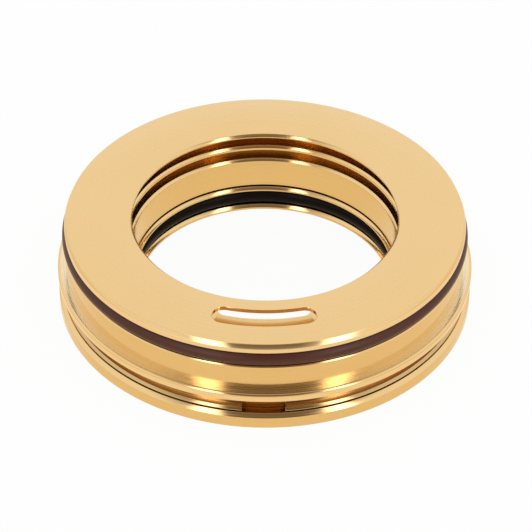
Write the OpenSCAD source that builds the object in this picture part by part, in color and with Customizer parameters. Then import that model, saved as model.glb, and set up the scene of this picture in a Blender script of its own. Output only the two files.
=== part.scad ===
// Bearing isolator: a two-piece bronze labyrinth seal with its rings.
// The stator sits in the bearing housing, the rotor turns with the shaft, and a hidden ring holds them together.
// It stands on the rotor's outboard face, with +Z along the shaft towards the bearing.

/* [Shaft and housing] */
// Diameter of the shaft that the rotor turns with
shaft_d = 57.15; // [40:0.05:80]
// Radial space between the shaft and the housing bore
section_w = 15.875; // [15:0.125:20]
// Radial clearance between the shaft and the rotor
rotor_bore_play = 0.125; // [0.1:0.005:0.3]
// Radial clearance between the shaft and the stator
stator_bore_play = 0.85; // [0.5:0.05:1.2]
// Radial clearance between the stator and the housing bore
housing_play = 0.05; // [0.02:0.005:0.2]

/* [Stator heights] */
// Length that enters the housing, from the shoulder to the inboard face
body_h = 11.9; // [11.6:0.1:16]
// Thickness of the flange that stops on the housing
flange_h = 1.9; // [1.2:0.1:3]
// Width of the collector groove below the flange
collector_h = 2.95; // [2:0.05:5]
// Thickness of the drip lip below the collector groove
lip_h = 0.6; // [0.55:0.05:1.2]

/* [Stator widths] */
// Radial width of the shoulder
shoulder_w = 2; // [1:0.1:4]
// Wall of the outer leg, from the labyrinth chamber to the outside of the body
outer_leg_w = 3.4; // [3:0.05:4.5]
// Wall of the neck behind the collector groove
neck_w = 2.95; // [1.6:0.05:3.4]
// How far the drip lip stands out of the neck
lip_w = 1.45; // [1:0.05:1.8]
// Wall of the inner leg around the shaft
inner_leg_w = 3.6; // [2:0.05:4]

/* [Oil side] */
// Thickness of the lip between the inboard face and the catch groove
oil_lip_h = 0.85; // [0.7:0.05:1.5]
// Width of the catch groove in the stator's bore, which takes the splashed oil
catch_h = 3.2; // [2.6:0.05:3.6]
// Depth of the catch groove
catch_depth = 6.6; // [5:0.1:7]
// Thickness of the dam between the two oil grooves
dam_h = 1; // [0.8:0.05:1.3]
// How far the dam stands back from the bore
dam_setback = 0.8; // [0.3:0.05:1.5]
// Chamfer on the dam's inboard edge
dam_chamfer = 0.5; // [0.2:0.05:0.7]
// Width of the second oil groove, behind the dam
second_h = 1.9; // [1.4:0.05:2.2]
// Depth of the second oil groove
second_depth = 4; // [3.2:0.1:5]
// Length of the drain slot along its curve, from end to end
slot_l = 22.2; // [12:0.1:40]
// Width of the drain slot
slot_w = 5.1; // [4:0.1:6.5]
// How far the drain slot reaches in over the catch groove
slot_overlap = 2.9; // [2.5:0.1:4]
// Length of the notch in the dam, which drains the second groove
notch_l = 20; // [8:0.1:36]
// Depth of this notch from the bore
notch_depth = 2.1; // [1.6:0.05:3]

/* [Labyrinth] */
// Thickness of the web between the second oil groove and the labyrinth chamber
web_h = 2.6; // [1.5:0.1:3.5]
// Running clearance between the stator and the rotor inside the labyrinth
labyrinth_play = 0.6; // [0.4:0.05:0.8]
// Width of the stator's fin that runs in the rotor's groove
fin_w = 1.4; // [0.8:0.1:2]
// Length of the fin
fin_h = 4; // [2:0.1:4.5]
// Axial gap between the stator's inner leg and the rotor's hub
face_gap = 0.55; // [0.5:0.05:1.5]
// Axial running gap between the drip lip and the rotor's flange
rim_gap = 0.3; // [0.25:0.05:0.8]
// Width of the port that throws out dirt and water
port_w = 9.2; // [4:0.1:20]

/* [Rotor] */
// Thickness of the rotor's flange
rotor_flange_h = 3.55; // [2.5:0.05:6]
// Chamfer on the upper edge of the rotor's rim
rim_chamfer = 0.8; // [0.3:0.05:1.5]
// Thickness of the lip outboard of the drive ring
drive_lip_low = 1.2; // [0.8:0.05:2.5]
// Thickness of the lip inboard of the drive ring
drive_lip_high = 0.95; // [0.7:0.05:2]

/* [Rings] */
// Section of the O-ring that seals in the housing bore
housing_ring_section = 3.53; // [2.6:0.01:4]
// How far the housing ring stands out of the stator
housing_ring_proud = 0.6; // [0.3:0.05:0.9]
// Distance from the inboard face to the housing ring's groove
pilot_h = 2.05; // [1.6:0.05:3]
// Section of the O-ring that drives the rotor
drive_ring_section = 3.53; // [2.6:0.01:4]
// How far the drive ring stands into the rotor's bore
drive_ring_proud = 0.2; // [0.13:0.01:0.22]
// Room for the housing ring along its groove
housing_groove_play = 0.17; // [0.1:0.01:1]
// Room for the drive ring along its groove
drive_groove_play = 0.7; // [0.2:0.01:1]
// Gap between an O-ring and the floor of its groove
groove_floor_play = 0.03; // [0.01:0.01:0.1]
// Radial width of the ring that holds the rotor in the stator
retainer_w = 2.4; // [1.6:0.05:2.8]
// Height of the holding ring
retainer_h = 2; // [1:0.1:2.2]
// How far the holding ring is let into the stator
retainer_seat = 1.1; // [0.6:0.05:1.4]
// Distance from the top of the labyrinth chamber to the holding ring
retainer_drop = 1.7; // [1.5:0.05:2.4]
// Clearance between the holding ring and the rotor, and behind the ring
retainer_play = 0.2; // [0.15:0.05:0.25]

/* [Edges] */
// Radial width of the lead-in at the inboard end
lead_in_w = 0.5; // [0.2:0.05:1]
// Length of the lead-in
lead_in_h = 1.05; // [0.4:0.05:1.5]
// Chamfer on the edges of the bores
bore_chamfer = 0.55; // [0.2:0.05:0.65]
// Chamfer on the drip lip
lip_chamfer = 0.5; // [0.2:0.05:0.5]
// Round on the upper edge of the flange
flange_round = 0.6; // [0.2:0.05:0.8]
// Break on the lower edge of the housing ring's groove
groove_break = 0.25; // [0.1:0.05:0.4]
// Small break on the other outer edges
edge_break = 0.1; // [0.05:0.05:0.4]

/* [Hidden] */
$fn = 180;
past = 1;
bronze = "#e3b872";

// Radii, from the shaft outwards
shaft_r = shaft_d / 2;
rotor_bore_r = shaft_r + rotor_bore_play;
stator_bore_r = shaft_r + stator_bore_play;
leg_r = stator_bore_r + inner_leg_w;
catch_r = stator_bore_r + catch_depth;
dam_r = stator_bore_r + dam_setback;
second_r = stator_bore_r + second_depth;
stator_r = shaft_r + section_w - housing_play;
chamber_r = stator_r - outer_leg_w;
neck_r = chamber_r + neck_w;
lip_r = neck_r + lip_w;
flange_r = stator_r + shoulder_w;
tongue_in_r = leg_r + labyrinth_play;
tongue_out_r = chamber_r - labyrinth_play;
fin_r = (leg_r + chamber_r) / 2;

// Heights, from the rotor's outboard face upwards
drive_groove_h = drive_ring_section + drive_groove_play;
hub_top = drive_lip_low + drive_groove_h + drive_lip_high;
lip_low = rotor_flange_h + rim_gap;
lip_top = lip_low + lip_h;
flange_low = lip_top + collector_h;
shoulder_z = flange_low + flange_h;
top = shoulder_z + body_h;
catch_top = top - oil_lip_h;
dam_top = catch_top - catch_h;
dam_low = dam_top - dam_h;
second_low = dam_low - second_h;
chamber_top = second_low - web_h;
leg_low = hub_top + face_gap;
tongue_top = chamber_top - labyrinth_play;
fin_low = chamber_top - fin_h;

// Places of the O-rings: the housing ring lies low in its groove, the drive ring in the middle of its own
housing_groove_top = top - pilot_h;
housing_groove_low = housing_groove_top - housing_ring_section - housing_groove_play;
housing_ring_z = housing_groove_low + groove_floor_play + housing_ring_section / 2;
housing_ring_r = stator_r + housing_ring_proud - housing_ring_section / 2;
housing_groove_r = housing_ring_r - housing_ring_section / 2 - groove_floor_play;
drive_ring_z = drive_lip_low + drive_groove_h / 2;
drive_ring_r = rotor_bore_r - drive_ring_proud + drive_ring_section / 2;

// Place of the holding ring, half in the stator and half in the rotor
retainer_out_r = chamber_r + retainer_seat;
retainer_in_r = retainer_out_r - retainer_w;
retainer_top = chamber_top - retainer_drop;
retainer_low = retainer_top - retainer_h;

// Mean radius of the drain slot, and width of the notch, whose inner half lies in the open bore
slot_r = catch_r - slot_overlap + slot_w / 2;
notch_w = 2 * notch_depth;

// A rectangle of the half section, between two radii and two heights
module band(in_r, out_r, low, high) {
    translate([in_r, low]) square([out_r - in_r, high - low]);
}

// An O-ring of the given mean radius and section
module o_ring(mean_r, section, z) {
    translate([0, 0, z]) rotate_extrude() translate([mean_r, 0]) circle(d = section);
}

// A curved slot with round ends on the near side, between two heights
module kidney(mean_r, w, l, low, high) {
    turn = (l - w) / mean_r * 180 / PI;
    translate([0, 0, low]) {
        rotate([0, 0, -90 - turn / 2])
            rotate_extrude(angle = turn)
                band(mean_r - w / 2, mean_r + w / 2, 0, high - low);
        for (end = [-1, 1])
            rotate([0, 0, -90 + end * turn / 2])
                translate([mean_r, 0]) cylinder(d = w, h = high - low);
    }
}

// Half section of the stator before its grooves are cut
module stator_blank() {
    polygon([
        [stator_bore_r, leg_low],
        [stator_bore_r, top - bore_chamfer],
        [stator_bore_r + bore_chamfer, top],
        [stator_r - lead_in_w, top],
        [stator_r, top - lead_in_h],
        [stator_r, shoulder_z],
        for (a = [90 : -15 : 0])
            [flange_r, shoulder_z] + flange_round * [cos(a) - 1, sin(a) - 1],
        [flange_r, flange_low + edge_break],
        [flange_r - edge_break, flange_low],
        [neck_r, flange_low],
        [neck_r, lip_top],
        [lip_r - lip_chamfer, lip_top],
        [lip_r, lip_top - lip_chamfer],
        [lip_r, lip_low],
        [chamber_r, lip_low],
        [chamber_r, chamber_top],
        [fin_r + fin_w / 2, chamber_top],
        [fin_r + fin_w / 2, fin_low],
        [fin_r - fin_w / 2, fin_low],
        [fin_r - fin_w / 2, chamber_top],
        [leg_r, chamber_top],
        [leg_r, leg_low],
    ]);
}

// Half section of the housing ring's groove, with its lower edge broken
module housing_groove() {
    polygon([
        [stator_r + past, housing_groove_top],
        [housing_groove_r, housing_groove_top],
        [housing_groove_r, housing_groove_low],
        [stator_r - groove_break, housing_groove_low],
        [stator_r, housing_groove_low - groove_break],
        [stator_r + past, housing_groove_low - groove_break],
    ]);
}

// Half section of the catch groove, the chamfered dam and the second groove with its chamfered mouth
module oil_grooves() {
    polygon([
        [stator_bore_r - past, catch_top],
        [catch_r, catch_top],
        [catch_r, dam_top],
        [dam_r + dam_chamfer, dam_top],
        [dam_r, dam_top - dam_chamfer],
        [dam_r, dam_low],
        [second_r, dam_low],
        [second_r, second_low],
        [stator_bore_r + bore_chamfer, second_low],
        [stator_bore_r, second_low - bore_chamfer],
        [stator_bore_r - past, second_low - bore_chamfer],
    ]);
}

// Notch through the neck and the drip lip, from the collector groove's roof to the open end
module expulsion_port() {
    difference() {
        translate([-port_w / 2, -lip_r - past, lip_low - past])
            cube([port_w, lip_r + past, flange_low - lip_low + past]);
        cylinder(r = chamber_r, h = top);
    }
}

// Bronze housing half: body, shoulder, collector groove, drip lip and labyrinth legs
module stator() {
    color(bronze) difference() {
        rotate_extrude() difference() {
            stator_blank();
            oil_grooves();
            housing_groove();
            band(tongue_out_r, retainer_out_r + retainer_play, retainer_low, retainer_top);
        }
        kidney(slot_r, slot_w, slot_l, dam_top, top + past);
        kidney(stator_bore_r, notch_w, notch_l, dam_low, dam_top);
        expulsion_port();
    }
}

// Bronze shaft half: hub, flange and the tongue that runs in the stator's chamber
module rotor() {
    color(bronze) rotate_extrude() difference() {
        polygon([
            [rotor_bore_r, edge_break],
            [rotor_bore_r + edge_break, 0],
            [flange_r - edge_break, 0],
            [flange_r, edge_break],
            [flange_r, rotor_flange_h - rim_chamfer],
            [flange_r - rim_chamfer, rotor_flange_h],
            [tongue_out_r, rotor_flange_h],
            [tongue_out_r, tongue_top],
            [tongue_in_r, tongue_top],
            [tongue_in_r, hub_top],
            [rotor_bore_r + bore_chamfer, hub_top],
            [rotor_bore_r, hub_top - bore_chamfer],
        ]);
        band(rotor_bore_r - past, drive_ring_r + drive_ring_section / 2 + groove_floor_play,
            drive_lip_low, drive_lip_low + drive_groove_h);
        band(fin_r - fin_w / 2 - labyrinth_play, fin_r + fin_w / 2 + labyrinth_play,
            fin_low - labyrinth_play, tongue_top + past);
        band(retainer_in_r - retainer_play, tongue_out_r + past,
            retainer_low - retainer_play, retainer_top + retainer_play);
    }
}

// Brown rubber O-ring that seals the stator in the housing bore
module housing_o_ring() {
    color("#50301f") o_ring(housing_ring_r, housing_ring_section, housing_ring_z);
}

// Black rubber O-ring that grips the shaft and turns the rotor with it
module drive_o_ring() {
    color("#1d1815") o_ring(drive_ring_r, drive_ring_section, drive_ring_z);
}

// Plain white ring, snapped into the stator, that stops the rotor from pulling out
module retaining_ring() {
    color("#f2efe6") rotate_extrude() band(retainer_in_r, retainer_out_r, retainer_low, retainer_top);
}

stator();
rotor();
housing_o_ring();
drive_o_ring();
retaining_ring();
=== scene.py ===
import math

import bpy
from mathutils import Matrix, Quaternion, Vector


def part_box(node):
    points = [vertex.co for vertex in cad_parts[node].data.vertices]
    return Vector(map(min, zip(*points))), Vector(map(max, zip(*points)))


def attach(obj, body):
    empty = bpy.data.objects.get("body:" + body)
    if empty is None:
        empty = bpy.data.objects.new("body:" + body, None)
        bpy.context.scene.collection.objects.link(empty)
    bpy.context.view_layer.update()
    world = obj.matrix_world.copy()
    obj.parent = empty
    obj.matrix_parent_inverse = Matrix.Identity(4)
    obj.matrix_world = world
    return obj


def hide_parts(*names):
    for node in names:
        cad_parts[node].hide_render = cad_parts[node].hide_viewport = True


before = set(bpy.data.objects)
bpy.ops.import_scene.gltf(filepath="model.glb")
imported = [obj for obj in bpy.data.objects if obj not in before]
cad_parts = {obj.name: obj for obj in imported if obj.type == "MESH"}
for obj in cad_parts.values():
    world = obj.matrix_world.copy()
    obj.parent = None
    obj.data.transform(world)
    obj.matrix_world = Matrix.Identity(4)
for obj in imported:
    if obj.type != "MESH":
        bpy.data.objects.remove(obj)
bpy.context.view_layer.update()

# Stator
# The housing half of the isolator: one ring of tin bronze, turned on a lathe and left bright.
# It is pushed into the housing bore up to its shoulder, with the drain slot and the port downwards.
MM = 0.001
TURN_STEPS = 320
WELD = 0.001 * MM
CRISP_ANGLE = math.radians(20)
corner_round = 0.06 * MM
edge_break = 0.1 * MM

stator_low, stator_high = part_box("stator")
stator_top = stator_high[2]
flange_r = stator_high[0]
shoulder_z = stator_top - 11.9 * MM
body_r = flange_r - 2.0 * MM
lead_in_w = 0.5 * MM
lead_in_h = 1.05 * MM
housing_groove_r = body_r - 2.96 * MM
housing_groove_top = stator_top - 2.05 * MM
housing_groove_low = housing_groove_top - 3.7 * MM
groove_break = 0.25 * MM
flange_low = shoulder_z - 1.9 * MM
flange_round = 0.6 * MM
chamber_r = body_r - 3.4 * MM
neck_r = chamber_r + 2.95 * MM
lip_r = neck_r + 1.45 * MM
lip_low = stator_low[2]
lip_top = lip_low + 0.6 * MM
lip_chamfer = 0.5 * MM
stator_bore_r = 29.425 * MM
bore_chamfer = 0.55 * MM
catch_r = stator_bore_r + 6.6 * MM
catch_top = stator_top - 0.85 * MM
dam_top = catch_top - 2.95 * MM
dam_low = dam_top - 1.1 * MM
dam_r = stator_bore_r + 0.8 * MM
dam_chamfer = 0.5 * MM
second_r = stator_bore_r + 4.0 * MM
second_low = dam_low - 2.05 * MM
leg_r = stator_bore_r + 3.6 * MM
leg_low = 6.78 * MM
chamber_top = second_low - 2.6 * MM
fin_r = (leg_r + chamber_r) / 2
fin_half = 0.7 * MM
fin_low = chamber_top - 4.0 * MM
retainer_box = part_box("retaining_ring")
retainer_low = retainer_box[0][2]
retainer_top = retainer_box[1][2]
retainer_r = retainer_box[1][0]
retainer_play = 0.2 * MM
retainer_floor_r = retainer_r + retainer_play


def pick_points(piece, wanted):
    """Selects, in edit mode, the points of a piece whose place is wanted, and no others."""
    bpy.ops.object.mode_set(mode="EDIT")
    bpy.ops.mesh.select_mode(type="VERT")
    bpy.ops.mesh.select_all(action="DESELECT")
    bpy.ops.object.mode_set(mode="OBJECT")
    for point in piece.data.vertices:
        point.select = wanted(point.co)
    bpy.ops.object.mode_set(mode="EDIT")


def draw_line(name, line):
    """Starts a piece as a line of (radius, height) points on the +X side, and leaves it in edit mode."""
    bpy.ops.object.select_all(action="DESELECT")
    bpy.ops.mesh.primitive_plane_add(size=MM, location=(0, 0, 0))
    piece = bpy.context.object
    piece.name = name
    bpy.ops.object.mode_set(mode="EDIT")
    bpy.ops.mesh.merge(type="CENTER")
    bpy.ops.transform.translate(value=(line[0][0], 0, line[0][1]))
    for (r, z), (next_r, next_z) in zip(line, line[1:]):
        step = (next_r - r, 0, next_z - z)
        bpy.ops.mesh.extrude_region_move(TRANSFORM_OT_translate={"value": step})
    return piece


def close_mesh():
    """Welds the seams of the mesh in edit mode, turns its faces outwards and leaves edit mode."""
    bpy.ops.mesh.select_all(action="SELECT")
    bpy.ops.mesh.remove_doubles(threshold=WELD)
    bpy.ops.mesh.normals_make_consistent(inside=False)
    bpy.ops.object.mode_set(mode="OBJECT")


def turn(name, outline):
    """Turns a closed outline about the shaft's axis, as a lathe does, with its corners a little rounded.

    A corner stays sharp where a side next to it is too short for the round.
    """
    least_side = 3 * corner_round
    piece = draw_line(name, outline + outline[:1])
    bpy.ops.mesh.select_all(action="SELECT")
    bpy.ops.mesh.remove_doubles(threshold=WELD)
    bpy.ops.mesh.edge_face_add()
    before = outline[-1:] + outline[:-1]
    after = outline[1:] + outline[:1]
    roomy = [
        Vector((here[0], 0, here[1]))
        for back, here, ahead in zip(before, outline, after)
        if min(math.dist(back, here), math.dist(here, ahead)) > least_side
    ]
    pick_points(piece, lambda place: any((place - corner).length < WELD for corner in roomy))
    bpy.ops.mesh.bevel(offset=corner_round, segments=2, affect="VERTICES", clamp_overlap=False)
    bpy.ops.mesh.select_all(action="SELECT")
    bpy.ops.mesh.delete(type="ONLY_FACE")
    bpy.ops.mesh.select_all(action="SELECT")
    bpy.ops.mesh.spin(steps=TURN_STEPS, angle=2 * math.pi, center=(0, 0, 0), axis=(0, 0, 1))
    close_mesh()
    return piece


def cut(piece, cutter):
    """Cuts one shape out of a piece, as a mill does, and clears the cutter away."""
    bpy.ops.object.select_all(action="DESELECT")
    bpy.context.view_layer.objects.active = piece
    milled = piece.modifiers.new("milled", "BOOLEAN")
    milled.operation = "DIFFERENCE"
    milled.solver = "EXACT"
    milled.object = cutter
    bpy.ops.object.modifier_apply(modifier=milled.name)
    bpy.data.objects.remove(cutter)


def smooth_curves(piece):
    """Shades the turned walls as smooth curves and keeps every corner crisp."""
    bpy.ops.object.select_all(action="DESELECT")
    piece.select_set(True)
    bpy.context.view_layer.objects.active = piece
    bpy.ops.object.shade_smooth_by_angle(angle=CRISP_ANGLE)


round_steps = 12
flange_edge = [
    (flange_r + flange_round * (math.sin(angle) - 1), shoulder_z + flange_round * (math.cos(angle) - 1))
    for angle in (math.radians(90 * step / round_steps) for step in range(round_steps + 1))
]
stator = turn("stator_turned", [
    (stator_bore_r, leg_low),
    (stator_bore_r, second_low - bore_chamfer),
    (stator_bore_r + bore_chamfer, second_low),
    (second_r, second_low),
    (second_r, dam_low),
    (dam_r, dam_low),
    (dam_r, dam_top - dam_chamfer),
    (dam_r + dam_chamfer, dam_top),
    (catch_r, dam_top),
    (catch_r, catch_top),
    (stator_bore_r, catch_top),
    (stator_bore_r, stator_top - bore_chamfer),
    (stator_bore_r + bore_chamfer, stator_top),
    (body_r - lead_in_w, stator_top),
    (body_r, stator_top - lead_in_h),
    (body_r, housing_groove_top),
    (housing_groove_r, housing_groove_top),
    (housing_groove_r, housing_groove_low),
    (body_r - groove_break, housing_groove_low),
    (body_r, housing_groove_low - groove_break),
    (body_r, shoulder_z),
    *flange_edge,
    (flange_r, flange_low + edge_break),
    (flange_r - edge_break, flange_low),
    (neck_r, flange_low),
    (neck_r, lip_top),
    (lip_r - lip_chamfer, lip_top),
    (lip_r, lip_top - lip_chamfer),
    (lip_r, lip_low),
    (chamber_r, lip_low),
    (chamber_r, retainer_low),
    (retainer_floor_r, retainer_low),
    (retainer_floor_r, retainer_top),
    (chamber_r, retainer_top),
    (chamber_r, chamber_top),
    (fin_r + fin_half, chamber_top),
    (fin_r + fin_half, fin_low),
    (fin_r - fin_half, fin_low),
    (fin_r - fin_half, chamber_top),
    (leg_r, chamber_top),
    (leg_r, leg_low),
])

curve_steps = 20
end_steps = 24


def curved_cutter(mean_r, width, length, side):
    """Makes a cutter for a curved slot with round ends on the near side.

    Its wall starts as a line of (flare, height) points, which runs along half the outer curve, round one
    end, back inside, round the other end and home.
    """
    cutter = draw_line("curved_cutter", [(mean_r + width / 2 + flare, z) for flare, z in side])
    half_turn = (length - width) / mean_r / 2
    end_x = mean_r * math.cos(half_turn)
    end_y = mean_r * math.sin(half_turn)
    path = [
        ((0, 0, 0), half_turn, curve_steps),
        ((end_x, -end_y, 0), math.pi, end_steps),
        ((0, 0, 0), -2 * half_turn, 2 * curve_steps),
        ((end_x, end_y, 0), math.pi, end_steps),
        ((0, 0, 0), half_turn, curve_steps),
    ]
    bpy.ops.mesh.select_all(action="SELECT")
    for centre, angle, steps in path:
        bpy.ops.mesh.spin(steps=steps, angle=angle, center=centre, axis=(0, 0, 1))
    bpy.ops.mesh.select_all(action="SELECT")
    bpy.ops.mesh.remove_doubles(threshold=WELD)
    bpy.ops.mesh.fill_holes(sides=0)
    bpy.ops.mesh.select_all(action="SELECT")
    # With no window this turns the other way, and so brings +X to -Y.
    bpy.ops.transform.rotate(value=math.pi / 2, orient_axis="Z", center_override=(0, 0, 0))
    close_mesh()
    return cutter


# The drain slot is milled through the inboard face into the catch groove, and its edge is filed.
# Its floor stands a hair above the dam, so that no two faces fall together.
slot_w = 5.1 * MM
slot_l = 22.2 * MM
slot_over_groove = 2.9 * MM
slot_r = catch_r - slot_over_groove + slot_w / 2
slot_break = 0.06 * MM
slot_floor = dam_top + 0.01 * MM
cut(stator, curved_cutter(slot_r, slot_w, slot_l, [
    (0, slot_floor),
    (0, stator_top - slot_break),
    (2 * slot_break, stator_top + slot_break),
]))

# A notch in the dam below the slot lets the second groove drain too.
notch_w = 4.2 * MM
notch_l = 20 * MM
notch_past = 0.3 * MM
cut(stator, curved_cutter(stator_bore_r, notch_w, notch_l, [
    (0, dam_low - notch_past),
    (0, dam_top + notch_past),
]))

# The expulsion port is milled through the neck and the drip lip, and its edges are filed.
port_w = 9.2 * MM
port_from_fin = 2.0 * MM
port_past = 1.0 * MM
port_in_y = -fin_r - port_from_fin
port_out_y = -lip_r - port_past
port_low = lip_low - port_past
port_file = 0.3 * MM
bpy.ops.object.select_all(action="DESELECT")
bpy.ops.mesh.primitive_cube_add(
    size=1,
    location=(0, (port_in_y + port_out_y) / 2, (port_low + flange_low) / 2),
    scale=(port_w, port_in_y - port_out_y, flange_low - port_low),
)
cut(stator, bpy.context.object)
pick_points(stator, lambda place: (
    abs(abs(place.x) - port_w / 2) < WELD and place.y < -fin_r and place.z < flange_low - WELD
))
bpy.ops.mesh.bevel(offset=port_file, segments=3, affect="EDGES", clamp_overlap=True)
close_mesh()
smooth_curves(stator)


def linear(code):
    """Turns an sRGB hex colour into the linear colour that a shader takes."""
    parts = [int(code[i:i + 2], 16) / 255 for i in (1, 3, 5)]
    return [part / 12.92 if part <= 0.04045 else ((part + 0.055) / 1.055) ** 2.4 for part in parts] + [1]


def add_node(tree, kind, settings=None, links=None):
    """Adds a node, gives its properties and sockets their settings, and links its inputs."""
    node = tree.nodes.new(kind)
    for key, value in (settings or {}).items():
        if isinstance(key, str) and hasattr(node, key):
            setattr(node, key, value)
        else:
            node.inputs[key].default_value = value
    for key, source in (links or {}).items():
        tree.links.new(source, node.inputs[key])
    return node


def new_material(name):
    """Makes an empty material, and returns it with its node tree."""
    material = bpy.data.materials.new(name)
    material.use_nodes = True
    material.node_tree.nodes.clear()
    return material, material.node_tree


# Some cuts get a painted tint, given from radius to radius and from height to height.
# The grooves in the bore and the collector groove are painted darker: painted shade in these recesses.
# The shoulder, the flange's rim and the land ahead of the O-ring are painted paler: a painted
# highlight that stands in for their whiter reflections.
painted_shade_and_highlight_tints = [
    # Painted shade: the two grooves in the bore and the collector groove are darker.
    (dam_r, catch_r + edge_break, dam_top + edge_break, catch_top + WELD, "#CCA86E"),
    (dam_r, second_r + edge_break, second_low - WELD, dam_low + WELD, "#D0AE76"),
    (chamber_r, lip_r, lip_low + edge_break, flange_low + WELD, "#CBAB78"),
    # Painted highlight: the shoulder, the flange's rim and the land ahead of the O-ring are paler.
    (body_r + edge_break, flange_r - flange_round,
     shoulder_z - edge_break, shoulder_z + edge_break, "#EFDAB4"),
    (flange_r - edge_break, flange_r + edge_break, flange_low, shoulder_z - flange_round, "#F3D5A5"),
    (body_r - edge_break, body_r + edge_break, housing_groove_top, stator_top, "#F3D5A5"),
]

# Tin bronze, fine turned: a golden mirror under a film of oil, with rings along the tool's path that
# draw reflections out across them. The feed is about 0.1 mm, which is too fine to show, so the rings
# are drawn 0.4 mm apart. Heights count a little more than radii, so that chamfers have rings too.
feed_gap = 0.4 * MM
feed_ridge = 0.001 * MM
height_share = 1.37
stain_w = 18 * MM


def turned_bronze(name, light, deep):
    """Makes the bronze of two close tones, with painted shade and painted highlight over some of its cuts.
    """
    material, tree = new_material(name)
    place = add_node(tree, "ShaderNodeTexCoord").outputs["Object"]
    height = add_node(tree, "ShaderNodeSeparateXYZ", links={0: place}).outputs["Z"]
    flat = add_node(tree, "ShaderNodeVectorMath", {"operation": "MULTIPLY", 1: (1, 1, 0)}, {0: place})
    radius = add_node(tree, "ShaderNodeVectorMath", {"operation": "LENGTH"}, {0: flat.outputs[0]})
    feed = add_node(tree, "ShaderNodeMath", {"operation": "MULTIPLY_ADD", 1: height_share},
                    {0: height, 2: radius.outputs["Value"]})
    rings = add_node(tree, "ShaderNodeTexNoise", {
        "noise_dimensions": "1D", "Scale": 1 / feed_gap, "Detail": 2, "Roughness": 0.6,
    }, {"W": feed.outputs[0]})
    stain = add_node(tree, "ShaderNodeTexNoise", {"Scale": 1 / stain_w, "Detail": 3}, {"Vector": place})
    colour = add_node(tree, "ShaderNodeMix", {"data_type": "RGBA", 6: linear(light), 7: linear(deep)},
                      {0: stain.outputs["Fac"]})
    gloss = add_node(tree, "ShaderNodeMapRange", {
        "From Min": 0.55, "From Max": 0.8, "To Min": 0.14, "To Max": 0.4,
    }, {"Value": rings.outputs["Fac"]})
    # Where a cut is listed, its colour is painted over: darker as painted shade, paler as painted
    # highlight.
    for in_r, out_r, low, high, tint in painted_shade_and_highlight_tints:
        across = add_node(tree, "ShaderNodeMath", {
            "operation": "COMPARE", 1: (in_r + out_r) / 2, 2: (out_r - in_r) / 2,
        }, {0: radius.outputs["Value"]})
        along = add_node(tree, "ShaderNodeMath", {
            "operation": "COMPARE", 1: (low + high) / 2, 2: (high - low) / 2,
        }, {0: height})
        inside = add_node(tree, "ShaderNodeMath", {"operation": "MULTIPLY"},
                          {0: across.outputs[0], 1: along.outputs[0]})
        colour = add_node(tree, "ShaderNodeMix", {"data_type": "RGBA", 7: linear(tint)},
                          {0: inside.outputs[0], 6: colour.outputs[2]})
    ridges = add_node(tree, "ShaderNodeBump", {"Strength": 1, "Distance": feed_ridge},
                      {"Height": rings.outputs["Fac"]})
    metal = add_node(tree, "ShaderNodeBsdfPrincipled", {
        "Metallic": 1, "Anisotropic": 0.75, "Anisotropic Rotation": 0.25,
        "Coat Weight": 0.45, "Coat Roughness": 0.12,
    }, {
        "Base Color": colour.outputs[2], "Roughness": gloss.outputs[0], "Normal": ridges.outputs[0],
    })
    add_node(tree, "ShaderNodeOutputMaterial", links={"Surface": metal.outputs[0]})
    return material


stator.data.materials.append(turned_bronze("stator_turned_tin_bronze", "#E9C78C", "#E6C184"))
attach(stator, "stator_side")
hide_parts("stator")

# Housing O-ring
# A moulded ring of brown fluorocarbon rubber, with a round section of 3.53 mm.
# It is stretched into the stator's outer groove, and seals in the housing bore.
ring_sides = 40


def mould_ring(name, node):
    """Moulds an O-ring of a CAD node's size: a round section, turned about the shaft's axis."""
    low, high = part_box(node)
    section = high[2] - low[2]
    bpy.ops.object.select_all(action="DESELECT")
    bpy.ops.mesh.primitive_circle_add(
        vertices=ring_sides,
        radius=section / 2,
        location=(high[0] - section / 2, 0, (low[2] + high[2]) / 2),
        rotation=(math.pi / 2, 0, 0),
    )
    piece = bpy.context.object
    piece.name = name
    bpy.ops.object.transform_apply(location=True, rotation=True, scale=True)
    bpy.ops.object.mode_set(mode="EDIT")
    bpy.ops.mesh.select_all(action="SELECT")
    bpy.ops.mesh.spin(steps=TURN_STEPS, angle=2 * math.pi, center=(0, 0, 0), axis=(0, 0, 1))
    close_mesh()
    smooth_curves(piece)
    return piece


# Moulded rubber: a satin skin with a fine grain from the mould and a faint, cloudy bloom.
# The grain is about 0.05 mm wide, which is too fine to show, so it is drawn 0.2 mm wide.
grain_w = 0.2 * MM
grain_h = 0.004 * MM
bloom_w = 6 * MM


def moulded_rubber(name, light, deep, roughness, shine):
    """Makes a rubber of two close tones, as rough and as shiny as its skin is."""
    material, tree = new_material(name)
    place = add_node(tree, "ShaderNodeTexCoord").outputs["Object"]
    grain = add_node(tree, "ShaderNodeTexNoise", {"Scale": 1 / grain_w, "Detail": 2}, {"Vector": place})
    bloom = add_node(tree, "ShaderNodeTexNoise", {"Scale": 1 / bloom_w, "Detail": 3}, {"Vector": place})
    colour = add_node(tree, "ShaderNodeMix", {"data_type": "RGBA", 6: linear(light), 7: linear(deep)},
                      {0: bloom.outputs["Fac"]})
    skin = add_node(tree, "ShaderNodeBump", {"Strength": 1, "Distance": grain_h},
                    {"Height": grain.outputs["Fac"]})
    rubber = add_node(tree, "ShaderNodeBsdfPrincipled", {
        "Roughness": roughness, "Specular IOR Level": shine,
    }, {
        "Base Color": colour.outputs[2], "Normal": skin.outputs[0],
    })
    add_node(tree, "ShaderNodeOutputMaterial", links={"Surface": rubber.outputs[0]})
    return material


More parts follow.
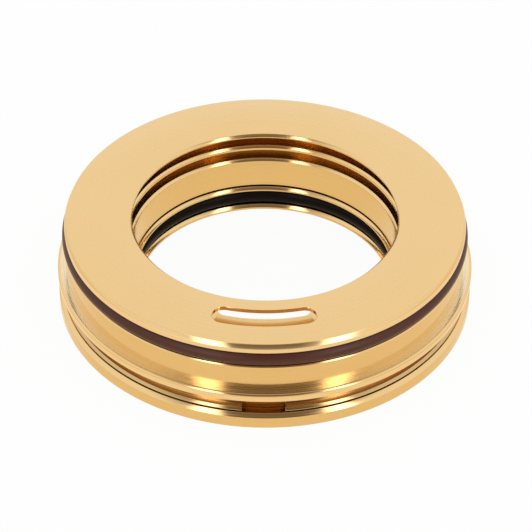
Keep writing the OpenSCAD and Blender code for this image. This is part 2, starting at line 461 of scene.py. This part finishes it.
housing_ring = mould_ring("housing_ring_moulded", "housing_o_ring")
brown_rubber = moulded_rubber("brown_fluorocarbon_rubber", "#4E2618", "#472013", roughness=0.35, shine=0.3)
housing_ring.data.materials.append(brown_rubber)
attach(housing_ring, "stator_side")
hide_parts("housing_o_ring")

# Retaining ring
# A plain white ring of fluoropolymer, turned from bar and snapped into the stator's chamber.
# Its inner half runs in the rotor's groove and stops the rotor from pulling out.
retaining_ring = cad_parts["retaining_ring"]

# Turned fluoropolymer: a waxy white with a soft sheen and shallow rings from the tool, 0.3 mm apart.
wax_ring_gap = 0.3 * MM
wax_ridge = 0.004 * MM


def turned_fluoropolymer(name, light, deep):
    """Makes the plastic of two close tones, which change from ring to ring."""
    material, tree = new_material(name)
    place = add_node(tree, "ShaderNodeTexCoord").outputs["Object"]
    flat = add_node(tree, "ShaderNodeVectorMath", {"operation": "MULTIPLY", 1: (1, 1, 0)}, {0: place})
    radius = add_node(tree, "ShaderNodeVectorMath", {"operation": "LENGTH"}, {0: flat.outputs[0]})
    rings = add_node(tree, "ShaderNodeTexNoise", {
        "noise_dimensions": "1D", "Scale": 1 / wax_ring_gap, "Detail": 1,
    }, {"W": radius.outputs["Value"]})
    colour = add_node(tree, "ShaderNodeMix", {"data_type": "RGBA", 6: linear(light), 7: linear(deep)},
                      {0: rings.outputs["Fac"]})
    ridges = add_node(tree, "ShaderNodeBump", {"Strength": 1, "Distance": wax_ridge},
                      {"Height": rings.outputs["Fac"]})
    wax = add_node(tree, "ShaderNodeBsdfPrincipled", {"Roughness": 0.35, "IOR": 1.38}, {
        "Base Color": colour.outputs[2], "Normal": ridges.outputs[0],
    })
    add_node(tree, "ShaderNodeOutputMaterial", links={"Surface": wax.outputs[0]})
    return material


white_plastic = turned_fluoropolymer("white_turned_fluoropolymer", "#F4F2EC", "#E9E6DC")
retaining_ring.data.materials.clear()
retaining_ring.data.materials.append(white_plastic)

# Rotor
# The shaft half of the isolator: hub, flange and labyrinth tongue turned from one bronze ring.
# Its tongue runs in the stator's chamber without touching, and its bore holds the drive O-ring.
rotor_low, rotor_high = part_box("rotor")
rotor_foot = rotor_low[2]
rotor_flange_top = 3.55 * MM
rim_chamfer = 0.8 * MM
rotor_bore_r = 28.7 * MM
labyrinth_play = 0.6 * MM
tongue_out_r = chamber_r - labyrinth_play
tongue_in_r = leg_r + labyrinth_play
tongue_top = rotor_high[2]
hub_top = leg_low - 0.4 * MM
drive_groove_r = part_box("drive_o_ring")[1][0] + 0.03 * MM
drive_groove_low = 1.2 * MM
drive_groove_top = drive_groove_low + 4.23 * MM
lip_break = 0.65 * MM
fin_groove_half = fin_half + labyrinth_play
fin_groove_low = fin_low - labyrinth_play
retainer_w = 2.4 * MM
retainer_in_r = retainer_r - retainer_w - retainer_play
rotor = turn("rotor_turned", [
    (rotor_bore_r, rotor_foot + edge_break),
    (rotor_bore_r + edge_break, rotor_foot),
    (flange_r - edge_break, rotor_foot),
    (flange_r, rotor_foot + edge_break),
    (flange_r, rotor_flange_top - rim_chamfer),
    (flange_r - rim_chamfer, rotor_flange_top),
    (tongue_out_r, rotor_flange_top),
    (tongue_out_r, retainer_low - retainer_play),
    (retainer_in_r, retainer_low - retainer_play),
    (retainer_in_r, retainer_top + retainer_play),
    (tongue_out_r, retainer_top + retainer_play),
    (tongue_out_r, tongue_top),
    (fin_r + fin_groove_half, tongue_top),
    (fin_r + fin_groove_half, fin_groove_low),
    (fin_r - fin_groove_half, fin_groove_low),
    (fin_r - fin_groove_half, tongue_top),
    (tongue_in_r, tongue_top),
    (tongue_in_r, hub_top),
    (rotor_bore_r + bore_chamfer, hub_top),
    (rotor_bore_r, hub_top - bore_chamfer),
    (rotor_bore_r, drive_groove_top),
    (drive_groove_r, drive_groove_top),
    (drive_groove_r, drive_groove_low),
    (rotor_bore_r + lip_break, drive_groove_low),
    (rotor_bore_r, drive_groove_low - lip_break),
])
smooth_curves(rotor)
rotor.data.materials.append(turned_bronze("rotor_turned_tin_bronze", "#E9C78C", "#E6C184"))
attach(rotor, "rotor_side")
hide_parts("rotor")

# Drive O-ring
# A moulded ring of black nitrile rubber in the rotor's bore.
# It is squeezed on the shaft, and so it turns the rotor and seals along the shaft.
drive_ring = mould_ring("drive_ring_moulded", "drive_o_ring")
black_rubber = moulded_rubber("black_nitrile_rubber", "#1C1715", "#181311", roughness=0.3, shine=0.06)
drive_ring.data.materials.append(black_rubber)
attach(drive_ring, "rotor_side")
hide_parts("drive_o_ring")

# Floor
# A wide matt white table that the isolator stands on. It glows a little towards the camera and in
# reflections, so that it looks white and still takes a soft shadow.
floor_w = 6
floor_glow = 0.95
mirror_glow = 0.92
bpy.ops.object.select_all(action="DESELECT")
bpy.ops.mesh.primitive_plane_add(size=floor_w, location=(0, 0, rotor_foot))
floor = bpy.context.object
floor.name = "floor"
white_board, board_tree = new_material("matt_white_board")
ray = add_node(board_tree, "ShaderNodeLightPath").outputs
shown = add_node(board_tree, "ShaderNodeMath", {"operation": "MAXIMUM"},
                 {0: ray["Is Camera Ray"], 1: ray["Is Transmission Ray"]})
shown = add_node(board_tree, "ShaderNodeMath", {"operation": "MULTIPLY", 1: floor_glow},
                 {0: shown.outputs[0]})
share = add_node(board_tree, "ShaderNodeMath", {"operation": "MULTIPLY_ADD", 1: mirror_glow},
                 {0: ray["Is Glossy Ray"], 2: shown.outputs[0]})
matt = add_node(board_tree, "ShaderNodeBsdfDiffuse", {"Color": linear("#F4F4F4")})
# In reflections the glow is warm: painted light standing in for the golden light the bronze throws on the
# table.
tint = add_node(board_tree, "ShaderNodeMix", {
    "data_type": "RGBA", 6: linear("#FFFFFF"), 7: linear("#FFF0D0"),
}, {0: ray["Is Glossy Ray"]})
glow = add_node(board_tree, "ShaderNodeEmission", {"Strength": 1}, {"Color": tint.outputs[2]})
board = add_node(board_tree, "ShaderNodeMixShader", links={
    0: share.outputs[0], 1: matt.outputs[0], 2: glow.outputs[0],
})
add_node(board_tree, "ShaderNodeOutputMaterial", links={"Surface": board.outputs[0]})
floor.data.materials.append(white_board)

# Studio light
# A white room with a dim strip in front and overhead, where the camera stands.
# A tall softbox hangs on each side of the camera, and both fade towards their long edges.
room_level = 1.05
room_dim = "#796C61"
world = bpy.data.worlds.new("white_room")
bpy.context.scene.world = world
world.use_nodes = True
room_tree = world.node_tree
room_tree.nodes.clear()
way = add_node(room_tree, "ShaderNodeTexCoord").outputs["Generated"]
way = add_node(room_tree, "ShaderNodeSeparateXYZ", links={0: way})
aside = add_node(room_tree, "ShaderNodeMath", {"operation": "ABSOLUTE"}, {0: way.outputs["X"]})
sides = add_node(room_tree, "ShaderNodeMapRange", {"From Min": 0.3, "From Max": 0.7},
                 {"Value": aside.outputs[0]})
back = add_node(room_tree, "ShaderNodeMapRange", {"From Min": -0.55, "From Max": 0.35},
                {"Value": way.outputs["Y"]})
walls = add_node(room_tree, "ShaderNodeMath", {"operation": "MAXIMUM"},
                 {0: sides.outputs[0], 1: back.outputs[0]})
low = add_node(room_tree, "ShaderNodeMapRange", {"From Min": 0.5, "From Max": 0, "To Max": 0.16},
               {"Value": way.outputs["Z"]})
walls = add_node(room_tree, "ShaderNodeMath", {"operation": "ADD"},
                 {0: walls.outputs[0], 1: low.outputs[0]})
seen = add_node(room_tree, "ShaderNodeLightPath").outputs["Is Camera Ray"]
walls = add_node(room_tree, "ShaderNodeMath", {"operation": "MAXIMUM"}, {0: walls.outputs[0], 1: seen})
tone = add_node(room_tree, "ShaderNodeMix", {
    "data_type": "RGBA", 6: linear(room_dim), 7: linear("#FFFFFF"),
}, {0: walls.outputs[0]})
room = add_node(room_tree, "ShaderNodeBackground", {"Strength": room_level}, {"Color": tone.outputs[2]})
add_node(room_tree, "ShaderNodeOutputWorld", links={"Surface": room.outputs[0]})

softbox_w = 0.36
softbox_h = 1.6
softbox_far = 0.9
softbox_radiance = 3.1
softbox_lean = math.radians(7.5)
for name, side, lean in (
    ("left_softbox", math.radians(-31.5), -softbox_lean),
    ("right_softbox", math.radians(42), softbox_lean),
):
    bpy.ops.object.light_add(
        type="AREA",
        location=(softbox_far * math.sin(side), -softbox_far * math.cos(side), softbox_h / 2),
        rotation=(math.pi / 2, lean, side),
    )
    box = bpy.context.object
    box.name = name
    box.data.shape = "RECTANGLE"
    box.data.size = softbox_w
    box.data.size_y = softbox_h
    box.data.energy = softbox_radiance * math.pi * softbox_w * softbox_h
    box.data.use_nodes = True
    box_tree = box.data.node_tree
    box_tree.nodes.clear()
    spot = add_node(box_tree, "ShaderNodeNewGeometry").outputs["Parametric"]
    spot = add_node(box_tree, "ShaderNodeSeparateXYZ", links={0: spot}).outputs["X"]
    edge = add_node(box_tree, "ShaderNodeMath", {"operation": "PINGPONG", 1: 0.5}, {0: spot})
    fade = add_node(box_tree, "ShaderNodeMapRange", {"interpolation_type": "SMOOTHSTEP", "From Max": 0.4},
                    {"Value": edge.outputs[0]})
    cloth = add_node(box_tree, "ShaderNodeEmission", links={"Strength": fade.outputs[0]})
    add_node(box_tree, "ShaderNodeOutputLight", links={"Surface": cloth.outputs[0]})

# Camera
# It looks down on the near side, where the drain slot and the port are.
# Its place and its roll were matched to the photograph by the rims of the isolator.
camera_far = 454.2 * MM
camera_lens = 138.95
camera_rise = math.radians(37.884)
camera_roll = math.radians(0.463)
camera_aim = Vector((0.29, 0, 5.99)) * MM
camera_place = Vector((
    0,
    -camera_far * math.cos(camera_rise),
    stator_top + camera_far * math.sin(camera_rise),
))
look = (camera_aim - camera_place).to_track_quat("-Z", "Y") @ Quaternion((0, 0, 1), camera_roll)
bpy.ops.object.camera_add(location=camera_place, rotation=look.to_euler())
camera = bpy.context.object
camera.data.sensor_width = 36
camera.data.lens = camera_lens
bpy.context.scene.camera = camera
bpy.context.scene.view_settings.view_transform = "Standard"
